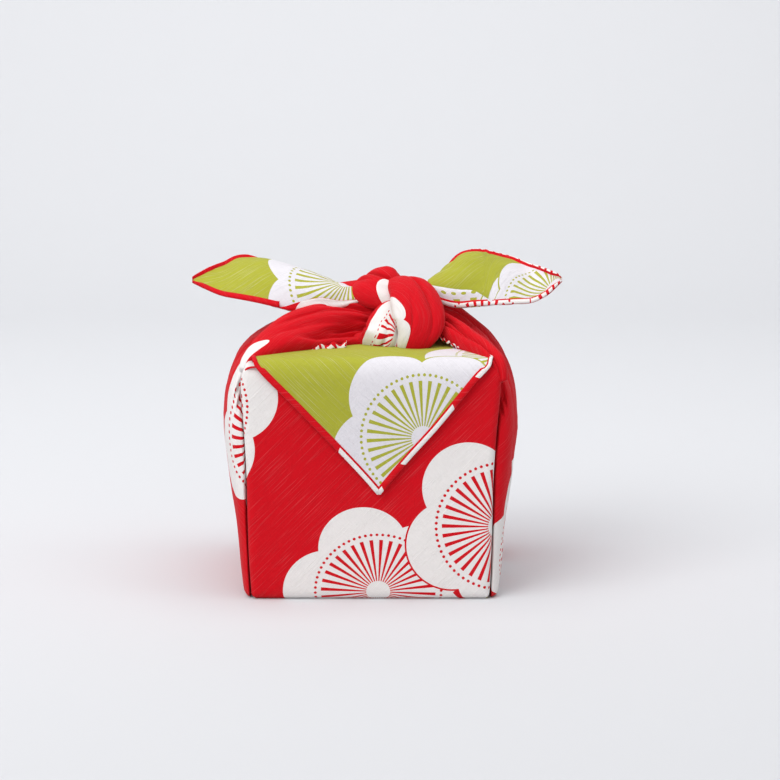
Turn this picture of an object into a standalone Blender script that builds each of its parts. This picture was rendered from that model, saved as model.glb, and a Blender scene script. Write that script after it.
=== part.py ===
"""Furoshiki wrap: one square cotton cloth tied round a small square parcel.

The near corner of the cloth comes up the front, over the top and back down as a pointed flap.
The two side corners come up the sides as ties, meet in a reef knot on top and end as two leaves.
All of it is one cloth, so it is one solid. X is to the right, Y is away from the front, Z is up.
Tables are in millimetres and degrees, and every mesh is in metres.
"""

import math

import bmesh
import bpy
import numpy as np
from mathutils import Vector

MM = 0.001

# The wrapped parcel.
BODY_CORNERS = 10
TOP_DOME = 5.0
TOP_RINGS = (0.86, 0.66, 0.44, 0.22)
BODY_COLUMNS = ("z", "half_x", "half_y", "corner")
BODY_ROWS = (
    (0.0, 56.0, 55.8, 4.5),
    (1.0, 57.2, 57.0, 4.5),
    (3.5, 57.8, 57.5, 4.5),
    (40.0, 58.6, 57.8, 4.5),
    (70.0, 59.4, 58.0, 4.5),
    (96.0, 61.5, 58.0, 4.5),
    (107.0, 61.8, 57.8, 5.0),
    (112.5, 60.0, 56.6, 6.5),
    (115.5, 57.0, 54.0, 8.0),
)

# The flap: stations from the fold on the top to its point low on the front.
# crown is how far its middle stands above the line between its two edges. Its underside is
# sunk in the cloth below, which it lies on.
HEM_WIDTH = 3.0
HEM_RISE = 0.9
FLAP_SINK = 4.0
FLAP_ACROSS = 6
FLAP_COLUMNS = ("y", "z", "left", "right", "crown")
FLAP_ROWS = (
    (4.0, 115.2, -52.0, 54.0, 4.6),
    (2.6, 117.4, -52.0, 54.0, 5.0),
    (-2.0, 117.8, -53.0, 54.5, 5.0),
    (-20.0, 117.6, -55.0, 56.0, 4.2),
    (-38.0, 117.2, -56.2, 57.2, 2.4),
    (-50.0, 116.7, -56.6, 57.6, 0.9),
    (-54.4, 115.8, -55.8, 57.2, 0.4),
    (-57.2, 113.2, -54.0, 56.0, 0.2),
    (-58.8, 108.0, -49.0, 51.8, 0.0),
    (-59.2, 98.0, -38.9, 44.4, 0.0),
    (-59.2, 84.0, -25.4, 32.8, 0.0),
    (-59.0, 71.0, -13.0, 20.5, 0.0),
    (-58.9, 60.0, -3.0, 10.6, 0.0),
    (-58.8, 52.6, 3.0, 4.4, 0.0),
)

# The strands: each comes up one side, narrows to a tie, and makes its half of the reef knot.
# out_x, out_y and out_z say which way the outer side of the cloth faces. power is 2 for a
# rounded section and more for a boxy one.
RING_POINTS = 26
STRAND_STEPS = 3
STRAND_COLUMNS = (
    "x", "y", "z", "half_width", "half_depth", "out_x", "out_y", "out_z", "power", "pleat",
)
LEFT_STRAND = (
    (-51.5, 0.0, 0.4, 53.6, 9.4, -1.00, 0.00, 0.00, 7.0, 0.00),
    (-51.5, 0.0, 3.0, 55.0, 11.0, -1.00, 0.00, 0.00, 7.0, 0.00),
    (-51.5, 0.0, 14.0, 55.0, 12.4, -1.00, 0.00, 0.00, 6.0, 0.00),
    (-54.0, 0.0, 36.0, 55.0, 12.6, -1.00, 0.00, 0.00, 4.2, 0.00),
    (-58.5, 0.0, 64.0, 55.0, 12.5, -1.00, 0.00, 0.00, 3.0, 0.01),
    (-60.5, 0.0, 88.0, 54.0, 12.5, -1.00, 0.00, 0.08, 2.7, 0.03),
    (-56.5, 0.0, 105.0, 51.0, 12.0, -0.84, 0.00, 0.54, 2.6, 0.05),
    (-46.0, -1.0, 113.4, 43.0, 11.0, -0.46, -0.06, 0.88, 2.4, 0.07),
    (-33.0, -2.0, 118.4, 30.5, 10.5, -0.32, -0.14, 0.94, 2.3, 0.09),
    (-20.0, -3.5, 123.4, 19.0, 9.5, -0.30, -0.30, 0.90, 2.3, 0.09),
    (-9.0, -5.0, 127.0, 13.5, 8.5, -0.20, -0.60, 0.78, 2.3, 0.08),
    (2.0, -5.5, 127.0, 11.5, 7.5, -0.05, -0.88, 0.47, 2.3, 0.07),
    (12.0, -6.5, 123.0, 11.0, 7.0, 0.00, -0.98, -0.20, 2.3, 0.06),
    (20.0, -10.0, 121.0, 11.5, 6.5, 0.10, -0.80, -0.60, 2.3, 0.05),
    (25.5, -13.5, 125.5, 12.0, 6.5, 0.36, -0.88, -0.30, 2.3, 0.05),
    (27.0, -14.0, 132.5, 12.0, 7.0, 0.50, -0.86, 0.05, 2.3, 0.05),
    (24.5, -11.5, 139.0, 12.0, 6.5, 0.42, -0.74, 0.52, 2.3, 0.05),
    (18.0, -6.5, 142.5, 11.5, 6.0, 0.15, -0.36, 0.92, 2.3, 0.05),
    (9.0, -1.5, 143.5, 10.0, 5.5, 0.00, -0.25, 0.97, 2.3, 0.06),
    (0.0, -1.5, 142.5, 9.0, 5.0, 0.05, -0.50, 0.86, 2.3, 0.07),
    (-9.0, -2.5, 142.0, 8.0, 3.8, 0.05, -0.55, 0.83, 2.3, 0.07),
    (-16.0, -3.0, 142.0, 6.5, 2.2, 0.05, -0.55, 0.83, 2.3, 0.06),
)
RIGHT_STRAND = (
    (51.5, 0.0, 0.4, 53.6, 9.4, 1.00, 0.00, 0.00, 7.0, 0.00),
    (51.5, 0.0, 3.0, 55.0, 11.0, 1.00, 0.00, 0.00, 7.0, 0.00),
    (51.5, 0.0, 14.0, 55.0, 12.2, 1.00, 0.00, 0.00, 6.0, 0.00),
    (53.8, 0.0, 36.0, 55.0, 12.2, 1.00, 0.00, 0.00, 4.2, 0.00),
    (58.0, 0.0, 64.0, 55.0, 12.5, 1.00, 0.00, 0.00, 3.0, 0.01),
    (60.2, 0.0, 84.0, 54.0, 12.5, 1.00, 0.00, 0.06, 2.7, 0.03),
    (57.8, 0.0, 101.0, 50.5, 12.0, 0.92, 0.00, 0.38, 2.6, 0.05),
    (51.0, -1.0, 112.5, 42.0, 11.0, 0.72, -0.04, 0.69, 2.4, 0.07),
    (43.5, -2.0, 120.0, 31.0, 10.0, 0.64, -0.10, 0.76, 2.3, 0.09),
    (36.5, -3.0, 126.5, 20.5, 9.0, 0.56, -0.20, 0.80, 2.3, 0.09),
    (29.0, -4.0, 129.5, 14.0, 8.0, 0.25, -0.50, 0.83, 2.3, 0.08),
    (20.0, -6.0, 130.5, 11.5, 7.0, 0.05, -0.86, 0.50, 2.3, 0.06),
    (11.0, -11.5, 128.0, 11.0, 6.5, -0.08, -0.99, 0.10, 2.3, 0.05),
    (3.0, -13.0, 122.5, 10.5, 6.0, -0.25, -0.90, -0.35, 2.3, 0.05),
    (-3.0, -6.0, 119.0, 10.5, 5.5, -0.40, -0.42, -0.81, 2.3, 0.05),
    (-6.5, 4.0, 120.5, 10.5, 6.0, -0.55, 0.45, -0.70, 2.3, 0.05),
    (-7.0, 10.0, 129.0, 11.0, 6.0, -0.50, 0.86, -0.08, 2.3, 0.05),
    (-5.0, 9.0, 139.5, 11.0, 6.0, -0.50, 0.72, 0.48, 2.3, 0.05),
    (0.0, 1.5, 146.0, 11.0, 6.0, -0.35, 0.00, 0.94, 2.3, 0.05),
    (7.0, -5.0, 145.5, 10.5, 5.5, -0.05, -0.60, 0.80, 2.3, 0.05),
    (15.0, -5.5, 141.5, 10.0, 5.0, 0.00, -0.55, 0.83, 2.3, 0.05),
    (24.0, -2.0, 140.5, 9.5, 4.5, -0.05, -0.40, 0.91, 2.3, 0.06),
    (33.0, -1.0, 143.0, 8.5, 3.8, -0.10, -0.45, 0.88, 2.3, 0.07),
    (40.0, -2.0, 145.0, 6.5, 2.2, -0.15, -0.45, 0.88, 2.3, 0.06),
)
PLEATS = 7
KNOT_HEART = (13.0, -1.0, 134.0)
KNOT_HEART_RADII = (17.0, 9.0, 13.0)

# The leaves: the free corners past the knot, from the root to the tip.
# Each section starts at the front edge, rises at angle front, and bends evenly to angle back.
LEAF_THICK = 1.8
LEAF_ACROSS = 14
LEAF_STEPS = 3
LEAF_COLUMNS = ("x", "front_y", "front_z", "width", "front", "back")
LEFT_LEAF = (
    (-7.0, -8.0, 139.5, 20.0, 100.0, -120.0),
    (-16.0, -11.0, 137.0, 34.0, 94.0, -94.0),
    (-25.5, -13.0, 135.2, 45.0, 88.0, -72.0),
    (-35.5, -14.0, 135.0, 54.0, 84.0, -62.0),
    (-45.0, -14.5, 136.6, 56.0, 76.0, -52.0),
    (-56.0, -13.5, 138.4, 51.0, 68.0, -32.0),
    (-66.0, -11.5, 140.4, 42.0, 58.0, -6.0),
    (-74.0, -8.5, 142.2, 29.0, 48.0, 10.0),
    (-82.0, -4.0, 145.0, 15.0, 42.0, 20.0),
    (-88.8, 0.0, 147.2, 2.4, 38.0, 30.0),
)
RIGHT_LEAF = (
    (28.0, -7.0, 140.0, 22.0, 100.0, -110.0),
    (36.0, -10.0, 137.0, 37.0, 104.0, -64.0),
    (43.0, -11.5, 135.8, 48.0, 98.0, -44.0),
    (51.0, -12.5, 136.4, 55.0, 82.0, -34.0),
    (60.0, -12.5, 137.4, 54.0, 68.0, -22.0),
    (70.0, -11.0, 138.2, 45.0, 56.0, -6.0),
    (79.0, -8.5, 138.6, 31.0, 50.0, 12.0),
    (86.5, -5.0, 141.0, 17.0, 52.0, 28.0),
    (94.0, -1.5, 147.4, 2.4, 56.0, 46.0),
)

# Colours, in sRGB, and the least angle of an edge that is shaded as a crease.
SHARP_ANGLE = 40.0
RED = "#ce1422"
GREEN = "#a8ab38"


def clear_scene():
    for item in list(bpy.data.objects):
        bpy.data.objects.remove(item, do_unlink=True)


def linear(channel):
    """One sRGB channel, 0 to 1, as the linear value that a shader takes."""
    if channel <= 0.04045:
        return channel / 12.92
    return ((channel + 0.055) / 1.055) ** 2.4


def cotton(name, colour):
    """Matt printed cotton of one colour."""
    material = bpy.data.materials.new(name)
    material.use_nodes = True
    shader = material.node_tree.nodes["Principled BSDF"]
    channels = [int(colour[at : at + 2], 16) / 255 for at in (1, 3, 5)]
    shader.inputs["Base Color"].default_value = (*map(linear, channels), 1.0)
    shader.inputs["Roughness"].default_value = 0.85
    shader.inputs["Metallic"].default_value = 0.0
    return material


def smooth_rows(rows, steps):
    """The rows of a table, with a smooth curve's rows put in between."""
    table = np.array(rows, float)
    padded = np.vstack([2 * table[0] - table[1], table, 2 * table[-1] - table[-2]])
    found = []
    for index in range(len(table) - 1):
        before, start, end, after = padded[index : index + 4]
        for step in range(steps):
            t = step / steps
            bend = 2 * before - 5 * start + 4 * end - after
            twist = 3 * (start - end) + after - before
            found.append(start + 0.5 * t * (end - before + t * (bend + t * twist)))
    found.append(table[-1])
    return np.array(found)


def named(rows, columns):
    """Each row of a table as a dictionary by the table's column names."""
    return [dict(zip(columns, row)) for row in rows]


def mesh_object(name, points, faces, materials):
    """A smooth object from points in millimetres."""
    mesh = bpy.data.meshes.new(name)
    mesh.from_pydata([Vector(point) * MM for point in points], [], faces)
    mesh.shade_smooth()
    mesh.set_sharp_from_angle(angle=math.radians(SHARP_ANGLE))
    for material in materials:
        mesh.materials.append(material)
    item = bpy.data.objects.new(name, mesh)
    bpy.context.scene.collection.objects.link(item)
    return item


def face_outward(item):
    """Turns the faces of a closed mesh outward."""
    shell = bmesh.new()
    shell.from_mesh(item.data)
    bmesh.ops.recalc_face_normals(shell, faces=shell.faces)
    shell.to_mesh(item.data)
    shell.free()


def loft(name, rings, material):
    """A closed solid through rings of points, with a flat cap on each end."""
    count = len(rings[0])
    points = [point for ring in rings for point in ring]
    faces = []
    for row in range(len(rings) - 1):
        for column in range(count):
            corner = row * count + column
            beside = row * count + (column + 1) % count
            faces.append((corner, beside, beside + count, corner + count))
    faces.append(tuple(range(count))[::-1])
    faces.append(tuple(range(len(points) - count, len(points))))
    item = mesh_object(name, points, faces, [material])
    face_outward(item)
    return item


def rounded_square(half_x, half_y, corner, z):
    """A level ring with round corners."""
    ring = []
    for side_x, side_y, start in ((1, 1, 0), (-1, 1, 90), (-1, -1, 180), (1, -1, 270)):
        for step in range(BODY_CORNERS // 2):
            angle = math.radians(start + 90 * step / (BODY_CORNERS // 2 - 1))
            x = side_x * (half_x - corner) + corner * math.cos(angle)
            y = side_y * (half_y - corner) + corner * math.sin(angle)
            ring.append((x, y, z))
    return ring


def wrapped_parcel(material):
    """The cloth round the bottom, front and back, flaring a little to a domed top."""
    rings = []
    for row in named(BODY_ROWS, BODY_COLUMNS):
        rings.append(rounded_square(row["half_x"], row["half_y"], row["corner"], row["z"]))
    rim = named(BODY_ROWS, BODY_COLUMNS)[-1]
    for share in TOP_RINGS:
        height = rim["z"] + TOP_DOME * math.cos(share * math.pi / 2)
        corner = rim["corner"] * share
        half_x = rim["half_x"] * share
        rings.append(rounded_square(half_x, rim["half_y"] * share, corner, height))
    return loft("wrapped_parcel", rings, material)


def flap_profile(row):
    """One section of the flap: its flat underside, then its crowned top with a hem at each edge."""
    width = row["right"] - row["left"]
    hem = min(HEM_WIDTH, width / 3)
    top = [(row["right"], HEM_RISE), (row["right"] - hem, HEM_RISE)]
    bottom = []
    for step in range(FLAP_ACROSS + 1):
        x = row["right"] - 1.2 * hem - (width - 2.4 * hem) * step / FLAP_ACROSS
        share = 2 * (x - row["left"]) / width - 1
        rise = row["crown"] * (1 - share * share)
        top.append((x, rise))
        bottom.append((x, rise - FLAP_SINK))
    top += [(row["left"] + hem, HEM_RISE), (row["left"], HEM_RISE)]
    return [(row["right"], -FLAP_SINK)] + top + [(row["left"], -FLAP_SINK)] + bottom[::-1]


def flap(material):
    """The corner folded back over the front: a thin sheet with a raised hem on each side."""
    rows = named(FLAP_ROWS, FLAP_COLUMNS)
    rings = []
    for index, row in enumerate(rows):
        before = rows[max(index - 1, 0)]
        after = rows[min(index + 1, len(rows) - 1)]
        along = Vector((0, after["y"] - before["y"], after["z"] - before["z"])).normalized()
        out = along.cross(Vector((1, 0, 0)))
        middle = Vector((0, row["y"], row["z"]))
        profile = flap_profile(row)
        rings.append([middle + Vector((x, 0, 0)) + out * rise for x, rise in profile])
    return loft("flap", rings, material)


def strand_rings(rows):
    """Rings across a strand: flattened rounds whose rim is pleated along the cloth."""
    table = named(smooth_rows(rows, STRAND_STEPS), STRAND_COLUMNS)
    centres = [Vector((row["x"], row["y"], row["z"])) for row in table]
    rings = []
    for index, row in enumerate(table):
        before = centres[max(index - 1, 0)]
        after = centres[min(index + 1, len(centres) - 1)]
        along = (after - before).normalized()
        out = Vector((row["out_x"], row["out_y"], row["out_z"]))
        out = (out - along * out.dot(along)).normalized()
        across = along.cross(out)
        ring = []
        for step in range(RING_POINTS):
            angle = 2 * math.pi * step / RING_POINTS
            power = 2 / row["power"]
            reach = math.copysign(abs(math.cos(angle)) ** power, math.cos(angle))
            rise = math.copysign(abs(math.sin(angle)) ** power, math.sin(angle))
            rise *= 1 + row["pleat"] * math.cos(PLEATS * reach * math.pi)
            shift = across * row["half_width"] * reach + out * row["half_depth"] * rise
            ring.append(centres[index] + shift)
        rings.append(ring)
    return rings


def knot_heart(material):
    """The tight middle of the knot, where the cloth fills every gap."""
    heart = bmesh.new()
    bmesh.ops.create_uvsphere(heart, u_segments=20, v_segments=12, radius=1)
    bmesh.ops.scale(heart, vec=Vector(KNOT_HEART_RADII) * MM, verts=heart.verts)
    bmesh.ops.translate(heart, vec=Vector(KNOT_HEART) * MM, verts=heart.verts)
    mesh = bpy.data.meshes.new("knot_heart")
    heart.to_mesh(mesh)
    heart.free()
    mesh.materials.append(material)
    item = bpy.data.objects.new("knot_heart", mesh)
    bpy.context.scene.collection.objects.link(item)
    return item


def leaf(name, rows, inner, outer):
    """A free corner of the cloth: a thin sheet that arches from its front edge to its back."""
    table = named(smooth_rows(rows, LEAF_STEPS), LEAF_COLUMNS)
    points = []
    for row in table:
        y, z = row["front_y"], row["front_z"]
        stride = row["width"] / LEAF_ACROSS
        points.append((row["x"], y, z))
        for step in range(LEAF_ACROSS):
            share = (step + 0.5) / LEAF_ACROSS
            angle = math.radians(row["front"] + share * (row["back"] - row["front"]))
            y += stride * math.cos(angle)
            z += stride * math.sin(angle)
            points.append((row["x"], y, z))
    across = LEAF_ACROSS + 1
    faces = []
    for station in range(len(table) - 1):
        for column in range(LEAF_ACROSS):
            corner = station * across + column
            quad = (corner, corner + 1, corner + across + 1, corner + across)
            faces.append(quad if rows[0][0] > rows[-1][0] else quad[::-1])
    item = mesh_object(name, points, faces, [inner, outer])
    sheet = item.modifiers.new("cloth", "SOLIDIFY")
    sheet.thickness = LEAF_THICK * MM
    sheet.offset = 0.0
    sheet.material_offset = 1
    return item


def join_cloth(base, pieces):
    """One solid from the base and the pieces that overlap it."""
    for piece in pieces:
        piece.hide_render = True
        piece.display_type = "WIRE"
        union = base.modifiers.new(piece.name, "BOOLEAN")
        union.operation = "UNION"
        union.solver = "EXACT"
        union.use_self = True
        union.object = piece
        union.material_mode = "TRANSFER"
    base.name = "furoshiki_cloth"


def main():
    clear_scene()
    red = cotton("red_print_cotton", RED)
    green = cotton("green_print_cotton", GREEN)
    parcel = wrapped_parcel(red)
    pieces = [
        flap(green),
        loft("left_strand", strand_rings(LEFT_STRAND), red),
        loft("right_strand", strand_rings(RIGHT_STRAND), red),
        knot_heart(red),
        leaf("left_leaf", LEFT_LEAF, green, red),
        leaf("right_leaf", RIGHT_LEAF, green, red),
    ]
    join_cloth(parcel, pieces)


main()
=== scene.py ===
"""Furoshiki wrap: the looks of one square slub-cotton cloth tied round a small parcel.

The one cloth is drawn as five pieces that lie together: the run round the parcel with its flap,
two strands that make the knot, and two leaves. X is to the right, Y is away from the front and Z
is up. Sizes are in millimetres and degrees unless a comment says otherwise, and every mesh is in
metres.
"""

import math

import bmesh
import bpy
import numpy as np
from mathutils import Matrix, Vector, noise


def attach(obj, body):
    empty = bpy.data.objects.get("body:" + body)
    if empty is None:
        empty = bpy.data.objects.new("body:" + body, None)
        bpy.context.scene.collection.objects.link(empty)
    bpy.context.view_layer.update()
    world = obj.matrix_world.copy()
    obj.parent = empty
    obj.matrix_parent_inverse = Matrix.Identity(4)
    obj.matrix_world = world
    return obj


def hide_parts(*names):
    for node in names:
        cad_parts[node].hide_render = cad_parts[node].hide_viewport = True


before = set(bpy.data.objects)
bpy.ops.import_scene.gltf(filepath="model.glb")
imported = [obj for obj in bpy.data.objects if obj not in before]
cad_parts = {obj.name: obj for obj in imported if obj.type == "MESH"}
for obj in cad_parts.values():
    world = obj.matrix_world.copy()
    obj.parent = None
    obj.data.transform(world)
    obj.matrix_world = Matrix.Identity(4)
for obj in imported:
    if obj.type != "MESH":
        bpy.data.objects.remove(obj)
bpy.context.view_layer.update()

# ---------------------------------------------------------------------------------------------
# The run of cloth round the parcel: thin printed cotton, held only by its own folds. It goes from
# the top down the back, under the parcel, up the front and back over the top. There it folds on
# itself, and its end comes forward and down the front, green side out, as a pointed hemmed flap.

MM = 0.001

# The dyes of both sides, their undyed whites, and how much paler a slub is.
RED = "#ce0a1a"
CREAM = "#e9e5e3"
GREEN = "#a8a938"
LILAC_WHITE = "#dedbe0"
RED_SLUBS = 0.034
GREEN_SLUBS = 0.14

# One blossom. Its petals are circles round its heart, and its stamens are spokes inside a ring of
# dots. A border of the ground colour parts it from one that it lies on.
BLOSSOM_PETALS = 5
PETAL_CENTRE = 23.5
PETAL_RADIUS = 21.0
BLOSSOM_HEART = 30.0
BLOSSOM_BORDER = 0.8
DOT_RING = 29.4
DOT_COUNT = 68
DOT_RADIUS = 0.7
SPOKE_COUNT = 36
SPOKE_START = 5.6
SPOKE_END = 26.8
SPOKE_HALF_WIDTH = 0.10
SPOKE_WIDENING = 0.030

MATH = "ShaderNodeMath"
VECTOR_MATH = "ShaderNodeVectorMath"
# The two colours that a Mix node takes, and the one that it gives, by their places on it.
MIX_FIRST, MIX_SECOND, MIX_RESULT = 6, 7, 2


def linear(code):
    """An sRGB hex colour as the linear colour that a shader takes."""
    channels = [int(code[at : at + 2], 16) / 255 for at in (1, 3, 5)]
    return [c / 12.92 if c <= 0.04045 else ((c + 0.055) / 1.055) ** 2.4 for c in channels] + [1]


def add_node(tree, kind, *values, **settings):
    """A node of that kind, with its settings, and its inputs linked or set in order."""
    item = tree.nodes.new(kind)
    for key, value in settings.items():
        setattr(item, key, value)
    for socket, value in zip(item.inputs, values):
        if isinstance(value, bpy.types.Node):
            value = value.outputs[0]
        if isinstance(value, bpy.types.NodeSocket):
            tree.links.new(value, socket)
        elif value is not None:
            socket.default_value = value
    return item


def plum_blossom():
    """A stencil: how far a point is outside one plum blossom, and where its stamens are."""
    tree = bpy.data.node_groups.new("plum blossom", "ShaderNodeTree")
    for label, way, kind in (
        ("Place", "INPUT", "NodeSocketVector"),
        ("Turn", "INPUT", "NodeSocketFloat"),
        ("Outside", "OUTPUT", "NodeSocketFloat"),
        ("Stamens", "OUTPUT", "NodeSocketFloat"),
    ):
        tree.interface.new_socket(label, in_out=way, socket_type=kind)
    given = add_node(tree, "NodeGroupInput")
    place = given.outputs["Place"]
    parts = add_node(tree, "ShaderNodeSeparateXYZ", place)
    radius = add_node(tree, VECTOR_MATH, place, operation="LENGTH").outputs["Value"]
    angle = add_node(tree, MATH, parts.outputs["Y"], parts.outputs["X"], operation="ARCTAN2")
    angle = add_node(tree, MATH, angle, given.outputs["Turn"], operation="SUBTRACT")
    # Each petal is a circle, met by folding the plane over every fifth of a turn.
    sector = math.pi / BLOSSOM_PETALS
    folded = add_node(tree, MATH, angle, -sector, sector, operation="WRAP")
    cosine = add_node(tree, MATH, folded, operation="COSINE")
    sine = add_node(tree, MATH, folded, operation="SINE")
    petal_x = add_node(tree, MATH, radius, cosine, operation="MULTIPLY")
    petal_x = add_node(tree, MATH, petal_x, PETAL_CENTRE, operation="SUBTRACT")
    petal_y = add_node(tree, MATH, radius, sine, operation="MULTIPLY")
    petal = add_node(tree, "ShaderNodeCombineXYZ", petal_x, petal_y)
    petal = add_node(tree, VECTOR_MATH, petal, operation="LENGTH").outputs["Value"]
    petal = add_node(tree, MATH, petal, PETAL_RADIUS, operation="SUBTRACT")
    heart = add_node(tree, MATH, radius, BLOSSOM_HEART, operation="SUBTRACT")
    outside = add_node(tree, MATH, petal, heart, operation="MINIMUM")
    # The stamens are tapered spokes with a ring of dots round them, and both repeat by the turn.
    beside = []
    for count in (DOT_COUNT, SPOKE_COUNT):
        step = math.pi / count
        turned = add_node(tree, MATH, angle, -step, step, operation="WRAP")
        beside.append(add_node(tree, MATH, radius, turned, operation="MULTIPLY"))
    ring = add_node(tree, MATH, radius, DOT_RING, operation="SUBTRACT")
    dot = add_node(tree, "ShaderNodeCombineXYZ", beside[0], ring)
    dot = add_node(tree, VECTOR_MATH, dot, operation="LENGTH").outputs["Value"]
    dot = add_node(tree, MATH, dot, DOT_RADIUS, operation="LESS_THAN")
    aside = add_node(tree, MATH, beside[1], operation="ABSOLUTE")
    half_width = add_node(
        tree, MATH, radius, SPOKE_WIDENING, SPOKE_HALF_WIDTH, operation="MULTIPLY_ADD"
    )
    spoke = add_node(tree, MATH, aside, half_width, operation="LESS_THAN")
    outer = add_node(tree, MATH, radius, SPOKE_END, operation="LESS_THAN")
    inner = add_node(tree, MATH, radius, SPOKE_START, operation="GREATER_THAN")
    spoke = add_node(tree, MATH, spoke, outer, operation="MULTIPLY")
    spoke = add_node(tree, MATH, spoke, inner, operation="MULTIPLY")
    stamens = add_node(tree, MATH, dot, spoke, operation="MAXIMUM")
    add_node(tree, "NodeGroupOutput", outside, stamens)
    return tree


BLOSSOM = plum_blossom()


def blossom_print(tree, place, blossoms):
    """Where the cloth is left undyed: in each blossom, but not in its stamens."""
    white = add_node(tree, "ShaderNodeValue")
    white.outputs[0].default_value = 0.0
    for u, v, turn, stretch_u, stretch_v in blossoms:
        near = add_node(tree, "ShaderNodeMapping", place, vector_type="TEXTURE")
        near.inputs["Location"].default_value = (u, v, 0)
        near.inputs["Scale"].default_value = (stretch_u, stretch_v, 1)
        bloom = add_node(tree, "ShaderNodeGroup", node_tree=BLOSSOM)
        tree.links.new(near.outputs[0], bloom.inputs["Place"])
        bloom.inputs["Turn"].default_value = math.radians(turn)
        outside, stamens = bloom.outputs["Outside"], bloom.outputs["Stamens"]
        inside = add_node(tree, MATH, outside, 0.0, operation="LESS_THAN")
        bare = add_node(tree, MATH, inside, stamens, operation="SUBTRACT", use_clamp=True)
        clear = add_node(tree, MATH, outside, BLOSSOM_BORDER, operation="GREATER_THAN")
        white = add_node(tree, MATH, white, clear, operation="MULTIPLY")
        white = add_node(tree, MATH, white, bare, operation="MAXIMUM")
    return white


# The yarns cross the parcel slantwise, as it stands cornerwise on the cloth. A slub is a thick
# place in a yarn, 2 or 3 cm long. A real one is about 0.3 mm wide, too fine to show, so it and
# the yarns across it are drawn coarser. SLUB_RANGE is the part of the noise that makes a slub.
YARN_TURN = 45
SLUB_SIZE = (24, 0.42)
SLUB_RANGE = (0.55, 0.68)
CROSS_YARN_SIZE = (6, 0.8)


def slub_yarns(tree, place):
    """Where the slubs of the yarns that run one way are, and how uneven all the yarns are."""
    noises = []
    for turn, size, detail, roughness in (
        (YARN_TURN, SLUB_SIZE, 2.0, 0.5),
        (YARN_TURN + 90, CROSS_YARN_SIZE, 3.0, 0.7),
    ):
        along = add_node(tree, "ShaderNodeMapping", place, vector_type="TEXTURE")
        along.inputs["Rotation"].default_value = (0, 0, math.radians(turn))
        along.inputs["Scale"].default_value = (*size, 1)
        uneven = add_node(tree, "ShaderNodeTexNoise", along)
        uneven.inputs["Scale"].default_value = 1.0
        uneven.inputs["Detail"].default_value = detail
        uneven.inputs["Roughness"].default_value = roughness
        noises.append(uneven)
    slubs = add_node(tree, "ShaderNodeMapRange", noises[0], *SLUB_RANGE, 0.0, 1.0)
    yarns = add_node(tree, MATH, noises[1], 0.9, slubs, operation="MULTIPLY_ADD")
    return slubs, yarns


# Thick yarns catch a little more light than thin ones, and washing leaves soft creases about
# 6 mm apart.
YARN_LIGHT = (0.94, 1.08)
CREASES_PER_MM = 0.16
RELIEF = 0.8


def printed_cotton(name, ground, motif, slub_strength, blossoms):
    """Plain-woven slub cotton, printed and washed soft, on the UV map of the flat cloth.

    It is quite matt. Its slubs show as fine pale lines across the ground colour, and the print
    has crisp edges. blossoms are (u, v, turn, stretch_u, stretch_v), a later one on top.
    """
    material = bpy.data.materials.new(name)
    material.use_nodes = True
    tree = material.node_tree
    shader = tree.nodes["Principled BSDF"]
    cloth = add_node(tree, "ShaderNodeUVMap", uv_map="cloth")
    place = add_node(tree, VECTOR_MATH, cloth, operation="SCALE")
    place.inputs["Scale"].default_value = 1 / MM
    white = blossom_print(tree, place, blossoms)
    slubs, yarns = slub_yarns(tree, place)
    printed = add_node(tree, "ShaderNodeMix", white, data_type="RGBA")
    printed.inputs[MIX_FIRST].default_value = linear(ground)
    printed.inputs[MIX_SECOND].default_value = linear(motif)
    paler = add_node(tree, MATH, slubs, slub_strength, operation="MULTIPLY")
    threads = add_node(tree, "ShaderNodeMix", paler, data_type="RGBA")
    tree.links.new(printed.outputs[MIX_RESULT], threads.inputs[MIX_FIRST])
    threads.inputs[MIX_SECOND].default_value = linear(motif)
    shade = add_node(tree, "ShaderNodeMapRange", yarns, 0.3, 1.5, *YARN_LIGHT)
    dyed = add_node(tree, VECTOR_MATH, threads.outputs[MIX_RESULT], operation="SCALE")
    tree.links.new(shade.outputs[0], dyed.inputs["Scale"])
    tree.links.new(dyed.outputs[0], shader.inputs["Base Color"])
    creases = add_node(tree, "ShaderNodeTexNoise", place)
    creases.inputs["Scale"].default_value = CREASES_PER_MM
    creases.inputs["Detail"].default_value = 4.0
    creases.inputs["Roughness"].default_value = 0.55
    height = add_node(tree, MATH, yarns, 0.30, creases, operation="MULTIPLY_ADD")
    bump = add_node(tree, "ShaderNodeBump")
    bump.inputs["Strength"].default_value = 0.6
    bump.inputs["Distance"].default_value = RELIEF * MM
    tree.links.new(height.outputs[0], bump.inputs["Height"])
    tree.links.new(bump.outputs[0], shader.inputs["Normal"])
    shader.inputs["Roughness"].default_value = 0.85
    shader.inputs["Specular IOR Level"].default_value = 0.12
    shader.inputs["Sheen Weight"].default_value = 0.04
    shader.inputs["Sheen Roughness"].default_value = 0.5
    return material


def red_side(name, *blossoms):
    """The cloth's outer side: red with cream blossoms, and slubs that hardly show."""
    return printed_cotton(name, RED, CREAM, RED_SLUBS, blossoms)


def green_side(name, *blossoms):
    """The cloth's inner side: leaf green with blossoms of a cool white, and clear slubs."""
    return printed_cotton(name, GREEN, LILAC_WHITE, GREEN_SLUBS, blossoms)


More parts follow.
